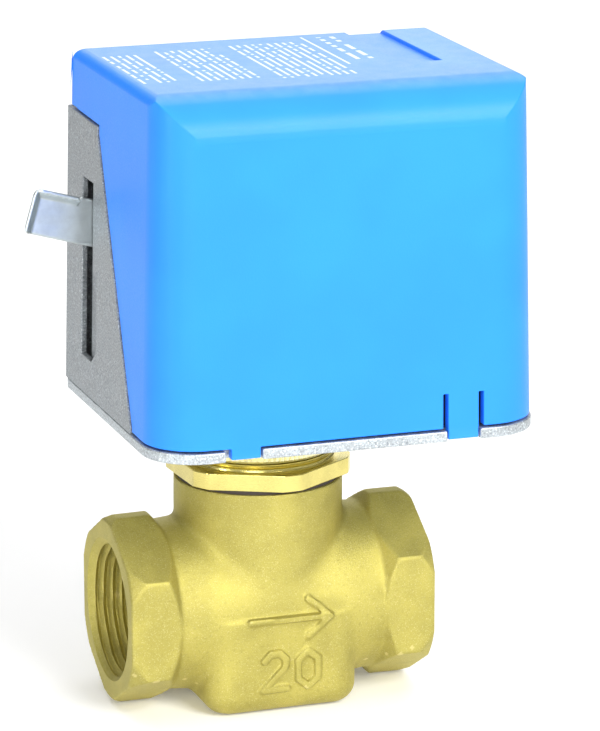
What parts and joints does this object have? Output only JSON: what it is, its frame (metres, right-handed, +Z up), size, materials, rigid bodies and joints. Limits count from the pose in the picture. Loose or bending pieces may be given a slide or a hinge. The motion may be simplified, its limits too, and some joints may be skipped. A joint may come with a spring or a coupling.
{
  "type": "zone valve",
  "caption": "Motorised zone valve: cast brass two-port body with threaded ports, union ring, and a boxed spring-return actuator with a manual lever.",
  "frame": {"origin": "centre of the flat pad under the body, on the stem's axis", "axes": "+X along the flow from inlet to outlet, -Y the cover's front, +Z up along the stem"},
  "size_m": [0.0865, 0.0597, 0.1227],
  "materials": {
    "brass_cast": "shot-blasted sand casting",
    "brass_turned": "turned and milled",
    "fibre": "pressed fibre",
    "rubber": "moulded, matt",
    "polymer_white": "moulded acetal",
    "polymer_black": "moulded",
    "spring_steel": "drawn wire and strip",
    "steel_bright": "ground",
    "zinc_plated": "zinc plated, satin",
    "galvanised": "galvanised sheet with fine spangle and cut edges",
    "copper_coil": "wound enamelled wire",
    "ferrite": "pressed ferrite",
    "cover_blue": "fine-textured moulding, semi-gloss"
  },
  "bodies": {
    "valve": {"valve_body": "brass_cast", "seat_cage": "brass_turned", "bonnet_gasket": "fibre", "bonnet": "brass_turned", "stem_seals": "rubber", "gland_bush": "polymer_white", "valve_spring": "spring_steel"},
    "stem": {"valve_stem": "steel_bright", "spring_cap": "brass_turned", "plug_nut": "brass_turned", "plug_disc": "brass_turned", "plug_washer": "rubber"},
    "ring": {"ring_nut": "brass_turned", "ring_washer": "spring_steel", "ring_clip": "spring_steel"},
    "actuator": {"base_plate": "galvanised", "rear_bracket": "galvanised", "slot_guide": "galvanised", "bracket_screws": "zinc_plated", "foot_screws": "zinc_plated", "cable_grommet": "rubber", "earth_screw": "zinc_plated", "front_gear_plate": "galvanised", "rear_gear_plate": "galvanised", "plate_pillars": "steel_bright", "pillar_screws": "zinc_plated", "lever_pivot_pin": "steel_bright", "gear_axles": "steel_bright", "motor_lid": "zinc_plated", "motor_can": "zinc_plated", "motor_screws": "zinc_plated", "stator_coil": "copper_coil", "stator_poles": "zinc_plated", "terminal_block": "polymer_black", "wire_clamps": "brass_turned", "terminal_screws": "zinc_plated", "return_spring": "spring_steel"},
    "lever": {"quadrant_gear": "zinc_plated", "manual_lever": "zinc_plated", "lever_rivets": "steel_bright", "pivot_tube": "brass_turned", "cam_lobe": "polymer_black"},
    "second_gear": {"gear_two": "polymer_white"},
    "first_gear": {"gear_one": "polymer_white"},
    "rotor": {"rotor_magnet": "ferrite", "motor_shaft": "steel_bright", "motor_pinion": "brass_turned"},
    "cover": {"cover": "cover_blue"}
  },
  "joints": [
    {"name": "actuator_lift", "type": "slide", "parent": "valve", "child": "actuator", "axis": [0, 0, 1], "range_m": [0, 0.05]},
    {"name": "cover_lift", "type": "slide", "parent": "actuator", "child": "cover", "axis": [0, 0, 1], "range_m": [0, 0.08]},
    {"name": "ring_spin", "type": "hinge", "parent": "actuator", "child": "ring", "pos_m": [0, 0, 0.052], "axis": [0, 0, 1], "continuous": true},
    {"name": "lever_turn", "type": "hinge", "parent": "actuator", "child": "lever", "pos_m": [0.00825, 0, 0.0805], "axis": [0, -1, 0], "range_deg": [0, 25], "stiffness_Nm_per_rad": 0.06, "springref_deg": -45.84, "deforming": ["return_spring"]},
    {"name": "stem_slide", "type": "slide", "parent": "valve", "child": "stem", "axis": [0, 0, -1], "range_m": [0, 0.0036], "stiffness_N_per_m": 300, "springref_m": -0.006, "deforming": ["valve_spring"]},
    {"name": "second_gear_turn", "type": "hinge", "parent": "actuator", "child": "second_gear", "pos_m": [0.01257, 0, 0.10497], "axis": [0, -1, 0], "range_deg": [-104.2, 0]},
    {"name": "first_gear_turn", "type": "hinge", "parent": "actuator", "child": "first_gear", "pos_m": [0.02389, 0, 0.10085], "axis": [0, -1, 0], "range_deg": [0, 312.6]},
    {"name": "rotor_turn", "type": "hinge", "parent": "actuator", "child": "rotor", "pos_m": [0.01466, 0, 0.09311], "axis": [0, -1, 0], "range_deg": [-937.6, 0]}
  ],
  "couplings": [
    {"joint": "stem_slide", "follows": "lever_turn", "m_per_rad": 0.00825},
    {"joint": "second_gear_turn", "follows": "lever_turn", "ratio": -4.1667},
    {"joint": "first_gear_turn", "follows": "lever_turn", "ratio": 12.5},
    {"joint": "rotor_turn", "follows": "lever_turn", "ratio": -37.5}
  ]
}
